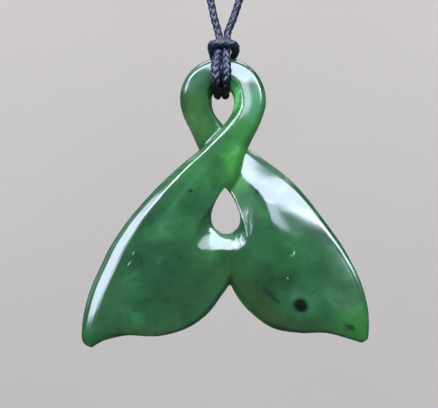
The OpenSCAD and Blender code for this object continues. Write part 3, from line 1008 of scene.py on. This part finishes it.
for x, z, reach_x, reach_z, lean, colour, strength in SPOTS:
    spot = placed(tree, in_mm, x, z, reach_x, reach_z, lean)
    body = mixed(tree, rising(tree, spot, 0.0, SPOT_CORE, strength), body, colour)
tree.links.new(body, shader.inputs["Base Color"])
print("spots placed:", len(SPOTS))

# %% [markdown]
# The polish is close to a mirror, with the faint ripple that hand sanding leaves. That
# ripple is far too small to model, so it is a bump of a few thousandths of a millimetre.
# To the right of the teardrop the file that opened it has left marks, where a polishing
# cloth doesn't reach. A noise stretched along the way the file went makes them, and it is
# kept to two places, which are a little duller as well. Numbers that are the same all over
# are set on the shader itself.
# Columns of the file marks: x and z of the middle, reach in x and in z, lean to the right in
# degrees, and depth in millimetres.

# %% Polish of the greenstone
FILE_MARKS = [(5, -32.4, 2.3, 5.6, -4, 0.13), (3.9, -35.2, 2.7, 2.8, -40, 0.28)]
FILE_CORE = 0.8
FILE_STRETCH = (1.7, 0.5, 0.5)
POLISHED, FILED = 0.145, 0.22

ripple = node(tree, "TexNoise", {"Vector": in_mm, "Scale": 0.9, "Detail": 3.0})
surface = bumped(tree, ripple, 0.25, 0.02 * MM)
roughness = POLISHED
for x, z, reach_x, reach_z, lean, depth in FILE_MARKS:
    filed = placed(tree, in_mm, x, z, reach_x, reach_z, lean)
    filed = rising(tree, filed, 0.0, FILE_CORE)
    turned = {"Vector": in_mm, "Rotation": (0, math.radians(lean), 0), "Scale": FILE_STRETCH}
    turned = node(tree, "Mapping", turned)
    marks = node(tree, "TexNoise", {"Vector": turned, "Scale": 1.0, "Detail": 2.0})
    marks = node(tree, "Math", {0: marks, 1: filed}, operation="MULTIPLY")
    surface = bumped(tree, marks, 1.0, depth * MM, surface)
    duller = {MIX_SHARE: filed, VALUE_BELOW: roughness, VALUE_ABOVE: FILED}
    roughness = node(tree, "Mix", duller)
tree.links.new(surface, shader.inputs["Normal"])
tree.links.new(roughness, shader.inputs["Roughness"])
set_finish(
    shader, ior=1.62, subsurface_weight=0.3, subsurface_scale=2 * MM,
    subsurface_radius=(0.4, 1, 0.5),
)
wear(whale_tail, greenstone)
print("polished:", whale_tail.name)

# %% [markdown]
# The cord is dyed nearly black with a touch of blue, and waxed. Each strand is a bundle of
# fibres that run along it, so the fibres follow the strand's own UV map, which the rolled
# grid gave it. Wax dust catches in the braid as pale specks. Where the cord turns in through
# the eye it lies in shade, so painted shade takes its colour down to black between two
# heights that are about three millimetres apart.

# %% Waxed thread, with painted shade in the eye
TURN_STARTS, TURN_ENDS = -294.6 * MM, -297.4 * MM

waxed_thread, tree, shader = new_material("waxed_thread")
along_strand = node(tree, "UVMap", {})
fibre_place = node(tree, "Mapping", {"Vector": along_strand, "Scale": (14, 3, 1)})
fibres = node(tree, "TexNoise", {"Vector": fibre_place, "Scale": 1.0, "Detail": 2.0})
metres = node(tree, "TexCoord", {}, output="Object")
dust = node(tree, "TexNoise", {"Vector": metres, "Scale": 1.6 / MM, "Detail": 2.0})
thread = mixed(tree, rising(tree, fibres, 0.35, 0.7), (0.003, 0.004, 0.008), (0.01, 0.014, 0.03))
thread = mixed(tree, rising(tree, dust, 0.6, 0.72, 0.45), thread, (0.12, 0.16, 0.28))
height = node(tree, "SeparateXYZ", {"Vector": metres}, output="Z")
# Painted shade: the colour falls to black where the cord turns in through the eye.
painted_shade_share = rising(tree, height, TURN_STARTS, TURN_ENDS)
thread = mixed(tree, painted_shade_share, thread, (0.001, 0.001, 0.002))
tree.links.new(thread, shader.inputs["Base Color"])
tree.links.new(bumped(tree, fibres, 0.6, 0.05 * MM), shader.inputs["Normal"])
set_finish(shader, roughness=0.34, specular_ior_level=0.35)
for piece in (cord_left, cord_hitch, cord_right, wound_knot):
    wear(piece, waxed_thread)
print("waxed:", cord_left.name, cord_hitch.name, cord_right.name, wound_knot.name)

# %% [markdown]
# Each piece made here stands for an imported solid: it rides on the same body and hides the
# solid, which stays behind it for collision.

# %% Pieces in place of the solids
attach(whale_tail, "root")
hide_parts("whale_tail")
for piece, solid in (
    (cord_left, "cord_left"),
    (cord_hitch, "cord_hitch"),
    (cord_right, "cord_right"),
    (wound_knot, "neck_knot"),
):
    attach(piece, "root")
    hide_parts(solid)
